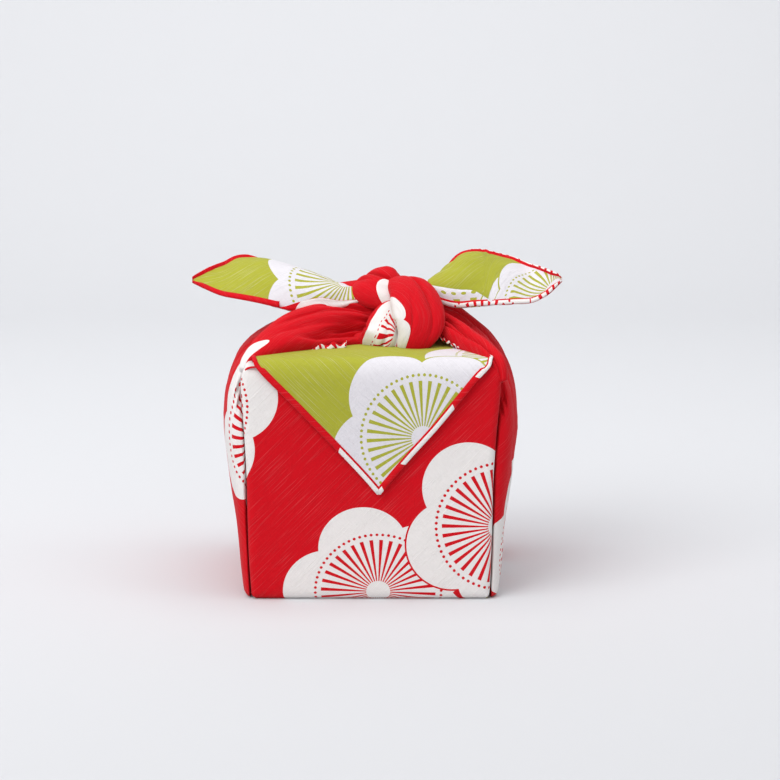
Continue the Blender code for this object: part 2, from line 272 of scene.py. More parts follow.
# The run's outer side: two blossoms on the front, one at its upper left corner, and four on the
# back and the top.
outer_print = red_side(
    "red_side_slub_cotton",
    (3.4, 4.1, 107, 1.03, 0.96),
    (62.0, 36.2, 129.0, 1.05, 1.05),
    (-88.0, 94.0, 12.0, 1.0, 1.0),
    (-20.0, -150.0, 10.0, 1.0, 1.0),
    (40.0, -205.0, 40.0, 1.0, 1.0),
    (-52.0, -232.0, 60.0, 1.0, 1.0),
    (22.0, -268.0, 20.0, 1.0, 1.0),
)
# Its inner side, on the flap: one blossom that the right edge cuts, and one behind it on the top.
inner_print = green_side(
    "green_side_slub_cotton", (70.0, 229.0, 30, 1.0, 1.0), (24.8, 271.4, 17, 1.0, 1.02)
)
# A hem has its own place on the print. Its blossoms lie beside it, so that it meets a petal's
# plain white between the stamens and the edge, or, set nearer, crosses the stamens.
left_hem_print = red_side("left_hem_slub_cotton", (36.0, 140.0, 36, 1.0, 1.0))
right_hem_print = red_side(
    "right_hem_slub_cotton",
    (36.0, 60.0, 36, 1.0, 0.83),
    (36.0, 111.0, 36, 1.0, 1.02),
    (36.0, 160.0, 36, 1.0, 0.86),
)
# The red ground between the blossoms.
plain_print = red_side("plain_red_slub_cotton")


def smooth_rows(rows, steps):
    """The rows of a table, with a smooth curve's rows put in between."""
    table = np.array(rows, float)
    padded = np.vstack([2 * table[0] - table[1], table, 2 * table[-1] - table[-2]])
    found = []
    for index in range(len(table) - 1):
        before, start, end, after = padded[index : index + 4]
        for step in range(steps):
            t = step / steps
            bend = 2 * before - 5 * start + 4 * end - after
            twist = 3 * (start - end) + after - before
            found.append(start + 0.5 * t * (end - before + t * (bend + t * twist)))
    found.append(table[-1])
    return np.array(found)


def unit(vectors):
    """Each vector at length one."""
    return vectors / np.maximum(np.linalg.norm(vectors, axis=-1, keepdims=True), 1e-9)


def run_lengths(points):
    """How far along a line of points each one is."""
    steps = np.linalg.norm(np.diff(points, axis=0), axis=1)
    return np.concatenate([[0.0], np.cumsum(steps)])


def cloth_mesh(name, grid, places, materials, face_slots=None):
    """An open sheet from a grid of points, each with its place on the flat cloth."""
    rows, columns = grid.shape[:2]
    mesh = bpy.data.meshes.new(name)
    faces = []
    for row in range(rows - 1):
        for column in range(columns - 1):
            corner = row * columns + column
            faces.append((corner, corner + 1, corner + columns + 1, corner + columns))
    mesh.from_pydata((grid.reshape(-1, 3) * MM).tolist(), [], faces)
    layer = mesh.uv_layers.new(name="cloth")
    corners = np.array([loop.vertex_index for loop in mesh.loops])
    flat = places.reshape(-1, 2)[corners] * MM
    layer.data.foreach_set("uv", flat.ravel())
    for material in materials:
        mesh.materials.append(material)
    if face_slots is not None:
        mesh.polygons.foreach_set("material_index", face_slots)
    mesh.shade_smooth()
    item = bpy.data.objects.new(name, mesh)
    bpy.context.scene.collection.objects.link(item)
    return item


def merge_points(item, distance, closed=False):
    """Makes points that lie together one. A closed piece gets its ends and faces outward."""
    shell = bmesh.new()
    shell.from_mesh(item.data)
    bmesh.ops.remove_doubles(shell, verts=shell.verts, dist=distance * MM)
    if closed:
        bmesh.ops.holes_fill(shell, edges=shell.edges)
        bmesh.ops.recalc_face_normals(shell, faces=shell.faces)
    shell.to_mesh(item.data)
    shell.free()


def thicken(item, thickness, offset, rim_slot):
    """Gives a sheet its thickness, with its inner side in its second material."""
    sheet = item.modifiers.new("thickness", "SOLIDIFY")
    sheet.thickness = thickness * MM
    sheet.offset = offset
    sheet.use_even_offset = False
    sheet.material_offset = 1
    sheet.material_offset_rim = rim_slot
    bpy.ops.object.select_all(action="DESELECT")
    item.select_set(True)
    bpy.context.view_layer.objects.active = item
    bpy.ops.object.modifier_apply(modifier=sheet.name)


CLOTH_THICK = 0.8
PANEL_CORNER = 3.4
RUN_STEPS = 4
RUN_ACROSS = 44
TUCK_STEPS = 4
CORNER_STEPS = 6
# y and z follow the cloth's outer face, left and right are its two edges, crown is how far its
# middle rises between them, and tuck is how deep its sides are turned in at the corners.
RUN_COLUMNS = ("y", "z", "left", "right", "crown", "tuck")
RUN_ROWS = (
    # On the top, from under the knot to the back edge.
    (-14.0, 114.9, -49.0, 44.0, 5.0, 1.0),
    (10.0, 115.0, -51.0, 48.0, 5.0, 1.0),
    (34.0, 114.9, -55.0, 54.5, 3.2, 1.0),
    (48.0, 115.0, -59.0, 59.0, 1.2, 1.0),
    # Down the back.
    (53.6, 114.4, -59.8, 59.8, 0.3, 1.5),
    (56.6, 111.4, -60.6, 60.6, 0.0, 4.0),
    (57.6, 106.0, -61.0, 61.0, 0.0, 9.0),
    (57.8, 90.0, -60.6, 60.6, 0.0, 12.0),
    (57.8, 60.0, -58.8, 58.6, 0.0, 12.0),
    (57.5, 30.0, -58.2, 57.6, 0.0, 12.0),
    (57.3, 8.0, -57.6, 57.2, 0.0, 8.0),
    (56.6, 2.6, -57.4, 57.0, 0.0, 2.0),
    # Under the parcel.
    (54.0, 0.3, -56.6, 56.4, 0.0, 1.6),
    (48.0, 0.0, -56.0, 56.0, 0.0, 1.2),
    (0.0, 0.0, -55.0, 55.0, 0.0, 1.2),
    (-48.0, 0.0, -56.0, 56.0, 0.0, 1.2),
    (-54.4, 0.3, -57.0, 56.4, 0.0, 1.6),
    # Up the front.
    (-57.0, 2.6, -57.8, 57.0, 0.0, 2.0),
    (-57.7, 8.0, -58.2, 57.4, 0.0, 8.0),
    (-58.0, 22.0, -58.9, 57.8, 0.0, 12.0),
    (-58.1, 40.0, -59.3, 58.2, 0.0, 12.0),
    (-58.1, 60.0, -59.5, 58.6, 0.0, 12.0),
    (-58.1, 80.0, -60.4, 59.8, 0.0, 12.0),
    (-58.0, 96.0, -61.4, 61.2, 0.0, 10.0),
    (-57.7, 105.0, -61.8, 61.8, 0.0, 6.0),
    (-56.6, 111.0, -61.2, 61.4, 0.2, 3.0),
    # Back over the top, under the flap.
    (-53.6, 114.2, -59.6, 60.0, 0.4, 1.0),
    (-48.0, 115.2, -58.0, 58.6, 0.6, 0.4),
    (-36.0, 115.6, -55.0, 54.0, 0.8, 0.2),
    (-16.0, 115.6, -52.0, 48.0, 0.9, 0.2),
    (0.0, 115.6, -50.5, 45.5, 0.9, 0.2),
    # The fold, and forward over the top.
    (3.6, 115.9, -50.3, 45.4, 0.9, 0.2),
    (4.5, 116.7, -50.2, 45.3, 0.9, 0.2),
    (3.4, 117.5, -50.3, 45.4, 0.9, 0.2),
    (0.0, 117.6, -50.5, 45.5, 0.9, 0.2),
    (-20.0, 117.5, -52.6, 48.5, 0.9, 0.2),
    (-38.0, 117.2, -55.6, 54.6, 0.8, 0.2),
    (-50.0, 116.7, -56.6, 57.6, 0.6, 0.2),
    # Down the front to the flap's point.
    (-54.8, 115.9, -55.9, 57.3, 0.4, 0.2),
    (-57.6, 113.1, -54.1, 56.0, 0.2, 0.1),
    (-59.2, 108.0, -49.0, 50.6, 0.1, 0.1),
    (-59.7, 98.0, -38.9, 42.4, 0.1, 0.1),
    (-59.8, 84.0, -25.4, 31.0, 0.1, 0.1),
    (-59.7, 71.0, -13.0, 19.4, 0.1, 0.1),
    (-59.6, 60.0, -3.0, 10.2, 0.1, 0.1),
    (-59.6, 52.6, 3.2, 4.2, 0.0, 0.05),
)
# On FRONT_ROW, low on the front, v on the flat cloth is the height above the floor. FLAP_ROW is
# the first row of the flap.
FRONT_ROW = 19
FLAP_ROW = 31


def run_section(row):
    """One line across the run: (x, depth inward, u on the cloth, share of the crown)."""
    left, right, tuck = row["left"], row["right"], row["tuck"]
    arc = min(PANEL_CORNER, tuck)
    halves = []
    for side, edge in ((-1, left), (1, right)):
        flat_end = edge - side * arc
        half = []
        for step in range(TUCK_STEPS):
            depth = arc + (tuck - arc) * (1 - step / TUCK_STEPS)
            half.append((edge, depth, flat_end + side * (arc * math.pi / 2 + depth - arc), 0.0))
        for step in range(CORNER_STEPS + 1):
            turn = math.radians(90 * (1 - step / CORNER_STEPS))
            x = flat_end + side * arc * math.sin(turn)
            half.append((x, arc * (1 - math.cos(turn)), flat_end + side * arc * turn, 0.0))
        halves.append(half)
    start, end = halves[0][-1][0], halves[1][-1][0]
    middle = []
    for step in range(1, RUN_ACROSS):
        x = start + (end - start) * step / RUN_ACROSS
        share = 2 * (x - left) / (right - left) - 1
        middle.append((x, 0.0, x, 1 - share * share))
    return halves[0] + middle + halves[1][::-1]


def run_grid(rows):
    """The run's points, and their places on the flat cloth."""
    table = smooth_rows(rows, RUN_STEPS)
    along = unit(np.gradient(table[:, :2], axis=0))
    lengths = run_lengths(table[:, :2])
    front = RUN_STEPS * FRONT_ROW
    lengths += table[front, 1] - lengths[front]
    points, places = [], []
    for values, (along_y, along_z), v in zip(table, along, lengths):
        row = dict(zip(RUN_COLUMNS, values))
        line = []
        for x, depth, u, share in run_section(row):
            lift = row["crown"] * share
            line.append((x, row["y"] + along_z * depth, row["z"] - along_y * depth + lift))
            places.append((u, v))
        points.append(line)
    return np.array(points), np.array(places).reshape(len(points), -1, 2)


# A hem's section, as (across from the edge, out of the cloth), each point's place across the
# print, and which of its faces show the hem's print (0) or the plain line inside it (1).
HEM_WIDTH = 2.8
HEM_SECTION = (
    (0.0, -0.5),
    (-0.35, 0.0),
    (0.0, 0.5),
    (0.8, 0.7),
    (HEM_WIDTH - 0.9, 0.62),
    (HEM_WIDTH - 0.6, 0.15),
    (HEM_WIDTH, 0.15),
    (HEM_WIDTH, -0.5),
)
HEM_PLACES = (0.0, 0.5, 1.0, 1.8, 2.6, 3.0, 3.4, 4.0, 7.0)
HEM_SLOTS = (0, 0, 0, 0, 1, 1, 1, 1)


def hem(name, edge, inward, outward, own_print, widths, fat, lift):
    """A narrow folded edge: a flat strip on the cloth, with a thin line of red on its inside.

    widths and fat are shares of the section's width and height, and lift is how far out it lies.
    """
    base = edge + outward * lift
    widths = np.reshape(widths, (-1, 1))
    grid = np.array([base + inward * a * widths + outward * b * fat for a, b in HEM_SECTION])
    grid = grid.transpose(1, 0, 2)
    grid = np.concatenate([grid, grid[:, :1]], axis=1)
    places = np.array([[(u, v) for u in HEM_PLACES] for v in run_lengths(edge)])
    slots = np.tile(HEM_SLOTS, len(grid) - 1)
    item = cloth_mesh(name, grid, places, [own_print, plain_print], slots)
    merge_points(item, 0.0001, closed=True)
    return item


def join(main, *others):
    """Makes several pieces one object."""
    bpy.ops.object.select_all(action="DESELECT")
    for item in (main, *others):
        item.select_set(True)
    bpy.context.view_layer.objects.active = main
    bpy.ops.object.join()


run_points, run_places = run_grid(RUN_ROWS)
run_cloth = cloth_mesh("run_cloth", run_points, run_places, [outer_print, inner_print])
merge_points(run_cloth, 0.001)
thicken(run_cloth, CLOTH_THICK, -1.0, 0)

# The flap's two hems. They are narrower above TOP_HEIGHT, where the ties lie on them.
TOP_HEIGHT = 112.0
TOP_HEM_WIDTH = 0.7
flap = run_points[RUN_STEPS * FLAP_ROW :]
flap_along = unit(np.gradient(flap[:, flap.shape[1] // 2], axis=0))
face = unit(np.cross(flap_along, (1.0, 0.0, 0.0)))
hems = []
for side, column, inner_turn, hem_print in (
    ("left", 0, -1, left_hem_print),
    ("right", -1, 1, right_hem_print),
):
    edge = flap[:, column]
    inward = inner_turn * unit(np.cross(unit(np.gradient(edge, axis=0)), face))
    widths = np.where(edge[:, 2] > TOP_HEIGHT, TOP_HEM_WIDTH, 1.0)
    hems.append(
        hem(f"{side}_hem", edge, inward, face, hem_print, widths=widths, fat=0.6, lift=0.85)
    )
join(run_cloth, *hems)
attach(run_cloth, "root")
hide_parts("furoshiki_cloth")

# ---------------------------------------------------------------------------------------------
# The two strands: the side corners of the same cotton cloth, red side out. Each comes up its
# side of the parcel, gathers into a tie that leans over the top, and makes its half of the reef
# knot, which alone holds the wrap together.

# x, y and z are a ring's middle, half_width and half_depth its half sizes, and out is the way
# that its face looks. power is how square it is, and at 2 it is an ellipse. On the parcel's side,
# slit is how far out the front panel's edge is. gather is how many millimetres of cloth are
# gathered into one.
FOLD_COLUMNS = ("x", "y", "z", "half_width", "half_depth", "out_x", "out_y", "out_z")
FOLD_COLUMNS += ("power", "slit", "gather")
# Each strand, from the floor to the start of its leaf.
LEFT_STRAND = (
    # Up the side of the parcel.
    (-51.5, 0.0, 0.4, 53.6, 9.4, -1.00, 0.00, 0.00, 7.0, 58.9, 1.0),
    (-51.5, 0.0, 3.0, 55.0, 11.0, -1.00, 0.00, 0.00, 7.0, 59.0, 1.0),
    (-51.5, 0.0, 14.0, 55.0, 12.4, -1.00, 0.00, 0.00, 6.0, 59.6, 1.0),
    (-54.0, 0.0, 36.0, 55.0, 12.6, -1.00, 0.00, 0.00, 4.2, 60.3, 1.0),
    (-58.5, 0.0, 64.0, 55.0, 12.5, -1.00, 0.00, 0.00, 3.0, 60.6, 1.0),
    (-60.5, 0.0, 88.0, 54.0, 12.5, -1.00, 0.00, 0.08, 2.7, 61.8, 1.0),
    # Over the top as a tie.
    (-56.5, 1.0, 105.0, 50.0, 12.0, -0.84, 0.00, 0.54, 2.6, 62.0, 1.1),
    (-46.0, 5.0, 113.4, 37.0, 11.0, -0.46, -0.06, 0.88, 2.4, 0.0, 1.3),
    (-33.0, 5.0, 118.4, 24.0, 10.5, -0.32, -0.14, 0.94, 2.3, 0.0, 1.6),
    (-20.0, 1.0, 123.4, 15.0, 9.5, -0.30, -0.30, 0.90, 2.3, 0.0, 2.0),
    (-9.0, -4.0, 126.0, 12.0, 8.5, -0.20, -0.60, 0.78, 2.3, 0.0, 2.4),
    # Through the knot.
    (2.0, -7.0, 125.5, 11.0, 7.5, -0.05, -0.88, 0.47, 2.3, 0.0, 2.4),
    (10.0, -12.5, 122.0, 9.5, 6.0, 0.00, -0.85, -0.50, 2.3, 0.0, 2.4),
    (17.5, -23.5, 119.0, 7.0, 5.0, 0.05, -0.45, -0.90, 2.3, 0.0, 2.4),
    (20.5, -30.0, 121.6, 8.2, 5.5, 0.10, -0.97, -0.20, 2.3, 0.0, 2.4),
    (23.2, -27.5, 130.5, 12.5, 6.5, 0.20, -0.96, 0.20, 2.3, 0.0, 2.4),
    (21.5, -20.5, 139.5, 12.5, 6.5, 0.20, -0.84, 0.46, 2.3, 0.0, 2.4),
    (18.5, -12.0, 144.5, 10.5, 6.0, 0.15, -0.50, 0.85, 2.3, 0.0, 2.4),
    (14.0, -3.0, 144.5, 9.5, 5.5, 0.00, 0.30, 0.95, 2.3, 0.0, 2.4),
    (6.0, 1.0, 142.5, 9.0, 5.0, 0.05, -0.10, 0.96, 2.3, 0.0, 2.4),
    (-4.0, -1.0, 142.0, 8.5, 4.5, 0.05, -0.45, 0.86, 2.3, 0.0, 2.4),
    (-16.0, -3.0, 142.0, 6.5, 2.2, 0.05, -0.55, 0.83, 2.3, 0.0, 2.4),
)
RIGHT_STRAND = (
    # Up the side of the parcel.
    (51.5, 0.0, 0.4, 53.6, 9.4, 1.00, 0.00, 0.00, 7.0, 58.1, 1.0),
    (51.5, 0.0, 3.0, 55.0, 11.0, 1.00, 0.00, 0.00, 7.0, 58.2, 1.0),
    (51.5, 0.0, 14.0, 55.0, 12.2, 1.00, 0.00, 0.00, 6.0, 58.6, 1.0),
    (53.8, 0.0, 36.0, 55.0, 12.2, 1.00, 0.00, 0.00, 4.2, 59.2, 1.0),
    (58.0, 0.0, 64.0, 55.0, 12.5, 1.00, 0.00, 0.00, 3.0, 59.8, 1.0),
    (60.2, 0.0, 84.0, 54.0, 12.5, 1.00, 0.00, 0.06, 2.7, 61.2, 1.0),
    # Over the top as a tie.
    (57.8, 1.0, 101.0, 50.0, 12.0, 0.92, 0.00, 0.38, 2.6, 61.9, 1.1),
    (51.0, 4.0, 112.5, 37.0, 11.0, 0.72, -0.04, 0.69, 2.4, 0.0, 1.3),
    (43.5, 6.0, 120.0, 24.0, 10.0, 0.64, -0.10, 0.76, 2.3, 0.0, 1.6),
    (36.5, 3.0, 126.5, 15.0, 9.0, 0.56, -0.20, 0.80, 2.3, 0.0, 2.0),
    (29.0, -2.0, 129.5, 12.0, 8.0, 0.25, -0.50, 0.83, 2.3, 0.0, 2.4),
    # Through the knot.
    (21.0, -9.0, 131.0, 11.5, 6.5, 0.05, -0.90, 0.40, 2.3, 0.0, 2.4),
    (13.0, -16.0, 130.5, 11.0, 6.0, -0.08, -0.96, 0.25, 2.3, 0.0, 2.4),
    (9.5, -21.5, 127.0, 12.0, 6.0, -0.15, -0.96, 0.12, 2.3, 0.0, 2.4),
    (7.5, -26.0, 121.8, 12.5, 5.0, -0.22, -0.95, -0.10, 2.3, 0.0, 2.4),
    (3.0, -18.0, 117.5, 11.5, 5.0, -0.35, -0.40, -0.85, 2.3, 0.0, 2.4),
    (-8.0, -2.0, 117.5, 11.0, 5.5, -0.60, 0.30, -0.75, 2.3, 0.0, 2.4),
    (-10.5, 8.0, 125.0, 11.0, 6.0, -0.60, 0.80, -0.20, 2.3, 0.0, 2.4),
    (-8.0, 9.0, 136.0, 11.0, 6.0, -0.60, 0.70, 0.35, 2.3, 0.0, 2.4),
    (-2.5, 1.0, 144.0, 11.5, 6.0, -0.50, -0.15, 0.85, 2.3, 0.0, 2.4),
    (3.5, -5.5, 145.0, 12.5, 6.5, -0.15, -0.68, 0.72, 2.3, 0.0, 2.4),
    (11.0, -7.0, 143.0, 11.5, 5.5, 0.00, -0.70, 0.70, 2.3, 0.0, 2.4),
    (20.0, -4.0, 141.5, 9.5, 5.0, -0.05, -0.45, 0.88, 2.3, 0.0, 2.4),
    (31.0, -1.5, 142.5, 8.5, 3.8, -0.10, -0.45, 0.88, 2.3, 0.0, 2.4),
    (40.0, -2.0, 145.0, 6.5, 2.2, -0.15, -0.45, 0.88, 2.3, 0.0, 2.4),
)
# The front edge of each tie: a roll of cloth from the parcel's upper corner to the knot.
LEFT_FRONT_FOLD = (
    (-60.0, -50.0, 110.0, 3.0, 3.0, -0.60, -0.60, 0.60, 2.3, 0.0, 1.6),
    (-57.5, -46.5, 115.0, 4.5, 4.0, -0.45, -0.50, 0.75, 2.3, 0.0, 1.6),
    (-49.0, -38.0, 120.3, 8.5, 5.8, -0.30, -0.56, 0.76, 2.6, 0.0, 1.6),
    (-37.0, -28.0, 124.2, 12.6, 7.2, -0.22, -0.66, 0.72, 3.0, 0.0, 1.8),
    (-24.0, -20.5, 126.8, 13.4, 7.4, -0.18, -0.74, 0.66, 3.0, 0.0, 2.0),
    (-12.0, -15.5, 127.2, 12.6, 7.2, -0.15, -0.80, 0.60, 2.8, 0.0, 2.2),
    (-2.0, -13.0, 126.0, 11.5, 6.0, -0.10, -0.80, 0.60, 2.3, 0.0, 2.4),
    (6.0, -10.0, 125.0, 9.0, 5.0, 0.00, -0.90, 0.40, 2.3, 0.0, 2.4),
)
RIGHT_FRONT_FOLD = (
    (62.2, -54.3, 106.0, 2.6, 2.6, 0.60, -0.60, 0.60, 2.3, 0.0, 1.6),
    (59.6, -51.0, 114.2, 4.4, 4.4, 0.50, -0.50, 0.72, 2.3, 0.0, 1.6),
    (54.0, -41.5, 119.0, 5.4, 4.9, 0.40, -0.55, 0.74, 2.3, 0.0, 1.6),
    (47.0, -31.0, 121.6, 6.2, 5.6, 0.35, -0.58, 0.74, 2.3, 0.0, 1.8),
    (39.0, -21.0, 125.8, 6.6, 5.6, 0.30, -0.62, 0.72, 2.3, 0.0, 2.0),
    (31.0, -13.5, 128.5, 7.0, 5.6, 0.20, -0.70, 0.68, 2.3, 0.0, 2.2),
    (22.0, -9.0, 127.5, 8.0, 6.0, 0.10, -0.85, 0.50, 2.3, 0.0, 2.4),
)
# The cloth turned in under each side corner, which shows only in the pockets at its edges.
UNDER_FOLD = (
    (54.0, 0.0, 82.0, 53.5, 2.0, 1.00, 0.00, 0.00, 8.0, 0.0, 1.0),
    (55.4, 0.0, 98.0, 53.5, 2.0, 1.00, 0.00, 0.00, 8.0, 0.0, 1.0),
    (56.0, 0.0, 108.0, 53.0, 2.0, 1.00, 0.00, 0.00, 8.0, 0.0, 1.0),
    (54.6, 0.0, 113.2, 51.0, 1.6, 1.00, 0.00, 0.00, 8.0, 0.0, 1.0),
)
# Creases: from and to along the fold, their places across it at both ends, depth and width.
LEFT_CREASES = (
    (84, 200, 0.55, 0.35, 0.35, 0.06),
    (95, 160, 0.20, 0.30, 0.25, 0.05),
    (205, 250, 0.55, 0.1, 0.35, 0.05),
    (200, 228, -0.45, -0.25, 0.20, 0.05),
    (290, 330, -0.4, 0.2, 0.25, 0.06),
)
RIGHT_CREASES = (
    (80, 150, 0.25, -0.05, 0.80, 0.05),
    (60, 170, 0.65, 0.5, 0.45, 0.06),
    (60, 120, -0.55, -0.3, 0.35, 0.05),
    (150, 205, 0.75, 0.45, 0.60, 0.06),
    (158, 200, 0.55, 0.25, 0.55, 0.06),
    (172, 205, -0.1, 0.15, 0.50, 0.05),
    (225, 262, -0.5, 0.0, 0.35, 0.06),
    (238, 275, 0.45, 0.15, 0.45, 0.06),
)
LEFT_FRONT_CREASES = (
    (128, 208, 0.15, 0.05, 0.22, 0.08),
    (134, 200, -0.40, -0.45, 0.25, 0.07),
    (140, 212, 0.70, 0.35, 0.95, 0.13),
    (156, 212, 0.45, -0.15, 0.80, 0.08),
    (160, 212, -0.75, -0.55, 0.70, 0.09),
    (170, 212, 0.0, -0.45, 0.60, 0.07),
)
RIGHT_FRONT_CREASES = (
    (100, 152, 0.72, 0.05, 1.05, 0.13),
    (138, 182, 0.2, -0.65, 1.05, 0.13),
    (125, 185, 0.6, 0.4, 0.40, 0.07),
)
CREASE_FADE = 15.0


def crease_heights(reach, v, creases):
    """The share of its height that a ring keeps at each point.

    A crease is a sharp line in a soft hollow three times as wide, and it fades at both ends.
    """
    height = np.ones_like(reach)
    for start, end, first, last, deep, wide in creases:
        fade = min(1.0, (v - start) / CREASE_FADE, (end - v) / CREASE_FADE)
        if fade > 0:
            share = (v - start) / (end - start)
            gap = (reach - (first + share * (last - first))) / wide
            sharp, soft = np.exp(-gap * gap), np.exp(-gap * gap / 9)
            height -= deep * fade * (0.6 * sharp + 0.4 * soft)
    return height


# Rumples of the cloth, as (size, share of the height).
RUMPLES = ((7.0, 1.0), (3.0, 0.4))


def rumpled(side, proud, v, seed, height):
    """A ring's heights with small uneven rumples added, the coarse ones first."""
    for size, share in RUMPLES:
        rumple = [
            noise.noise(Vector((a / size, b / size, v / size / 3 + seed)))
            for a, b in zip(side[:-1], proud[:-1])
        ]
        proud = proud + height * share * np.array(rumple + rumple[:1])
    return proud


FOLD_POINTS = 208
FOLD_STEPS = 6
SIDE_RUMPLE = 0.30
TIE_RUMPLE = 0.55
# Further in than the front panel's edge, a ring draws back to SLIT_DEPTH, over a step as soft as
# SLIT_SOFT, to make room for what the panel turns in. That fades out as slit falls to SLIT_FROM.
SLIT_DEPTH = 47.0
SLIT_SOFT = 1.2
SLIT_FROM = 30.0
SLIT_FADE = 28.0


def fold_of_cloth(name, rows, creases, front_turn, material):
    """A gathered length of cloth: rings across it, with creases along it.

    front_turn is 1 or -1, whichever makes the positive side of a ring its front one.
    """
    table = smooth_rows(rows, FOLD_STEPS)
    centres = table[:, :3]
    along = unit(np.gradient(centres, axis=0))
    outs = table[:, 5:8]
    outs = unit(outs - along * (outs * along).sum(1, keepdims=True))
    acrosses = np.cross(along, outs)
    lengths = rows[0][2] + run_lengths(centres)
    turn = np.linspace(-0.5 * math.pi, 1.5 * math.pi, FOLD_POINTS + 1)
    points, places = [], []
    for values, centre, across, out, v in zip(table, centres, acrosses, outs, lengths):
        row = dict(zip(FOLD_COLUMNS, values))
        reach = np.sign(np.cos(turn)) * np.abs(np.cos(turn)) ** (2 / row["power"])
        rise = np.sign(np.sin(turn)) * np.abs(np.sin(turn)) ** (2 / row["power"])
        rise = np.where(rise > 0, rise * crease_heights(reach, v, creases), rise)
        side = row["half_width"] * reach
        proud = row["half_depth"] * rise
        proud = rumpled(side, proud, v, len(rows), SIDE_RUMPLE if row["slit"] else TIE_RUMPLE)
        if row["slit"] > SLIT_FROM:
            wall = row["slit"] - abs(row["x"])
            inside = np.clip((wall - proud) / SLIT_SOFT, 0, 1)
            inside = inside * inside * (3 - 2 * inside)
            inside = inside * min(1.0, (row["slit"] - SLIT_FROM) / SLIT_FADE)
            side = np.where(side > SLIT_DEPTH, side + inside * (SLIT_DEPTH - side), side)
        ring = centre + np.outer(side * front_turn, across) + np.outer(proud, out)
        around = run_lengths(ring)
        around = (around - around[FOLD_POINTS // 4]) * row["gather"]
        points.append(ring)
        places.append(np.stack([around, np.full_like(around, v)], axis=1))
    item = cloth_mesh(name, np.array(points), np.array(places), [material])
    merge_points(item, 0.0001, closed=True)
    return item


# The left strand's blossoms: one round the parcel's front corner, and one in the knot.
left_print = red_side(
    "left_fold_slub_cotton", (-13.0, 77.0, 57, 1.0, 1.0), (109.0, 191.5, 106, 1.8, 1.0)
)
# The right strand's: one low on the parcel's side, and two in the knot.
right_print = red_side(
    "right_fold_slub_cotton",
    (48.0, 22.5, 39, 1.0, 1.0),
    (31.0, 180.5, -5, 0.9, 0.7),
    (59.0, 286.0, 248, 1.2, 0.6),
)
# A sliver of one blossom, which shows where the left tie leaves the corner.
sliver_print = red_side("tie_edge_slub_cotton", (11.0, 67.0, 218, 0.4, 1.4))
left_strand = fold_of_cloth("left_strand", LEFT_STRAND, LEFT_CREASES, 1, left_print)
right_strand = fold_of_cloth("right_strand", RIGHT_STRAND, RIGHT_CREASES, -1, right_print)
left_front = fold_of_cloth("left_front", LEFT_FRONT_FOLD, LEFT_FRONT_CREASES, 1, sliver_print)
right_front = fold_of_cloth("right_front", RIGHT_FRONT_FOLD, RIGHT_FRONT_CREASES, -1, plain_print)
under_folds = []
for name, hand in (("left_under", -1), ("right_under", 1)):
    rows = [(row[0] * hand, *row[1:5], row[5] * hand, *row[6:]) for row in UNDER_FOLD]
    under_folds.append(fold_of_cloth(name, rows, (), 1, plain_print))
join(left_strand, left_front, under_folds[0])
join(right_strand, right_front, under_folds[1])

# Three short lengths of the hem that show by themselves: one under each tie, crumpled by less
# than a millimetre, and one that bows out at the upper left corner. Each is (name, start, end,
# the way across it, wave, width).
LOOSE_POINTS = 33
FRONTWARD = (0.0, -1.0, 0.1)
share = np.linspace(0, 1, LOOSE_POINTS)[:, None]
crumple = np.hstack([share * 0, -0.5 * np.sin(share * 19), 0.6 * np.cos(share * 25)])
bow = np.hstack([-1.2 * np.sin(share * math.pi), share * 0, 1.6 * np.sin(share * math.pi)])
loose_hem_print = red_side("loose_hem_slub_cotton", (19.0, 8.0, 36, 1.0, 1.0))
LOOSE_HEMS = (
    ("left", (-37.0, -37.0, 117.8), (-12.0, -33.0, 118.8), (0.0, 0.25, 0.97), 1.6 * crumple, 1.0),
    ("right", (33.5, -26.0, 122.5), (42.5, -34.5, 118.6), (-0.3, 0.3, 0.9), crumple, 0.5),
    ("corner", (-54.5, -57.6, 113.4), (-61.2, -54.4, 107.4), (-0.3, 0.9, 0.3), bow, 0.5),
)
for name, start, end, up, wave, width in LOOSE_HEMS:
    edge = np.array(start) + share * (np.array(end) - np.array(start)) + wave
    inward = np.tile(unit(np.array(up)), (LOOSE_POINTS, 1))
    face = unit(np.cross(unit(np.gradient(edge, axis=0)), inward))
    face = face * np.sign(face @ np.array(FRONTWARD))[:, None]
    hem_print = plain_print if name == "corner" else loose_hem_print
    strip = hem(f"{name}_loose_hem", edge, inward, face, hem_print, widths=width, fat=0.5, lift=0)
    join(right_strand if name == "right" else left_strand, strip)
for item in (left_strand, right_strand):
    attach(item, "root")
    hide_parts("furoshiki_cloth")

# ---------------------------------------------------------------------------------------------
# The two leaves: the free corners past the knot. Each is the cloth's own corner, opened out
# with its green side up, and the narrow hem round it shows the red side. The knot holds it.

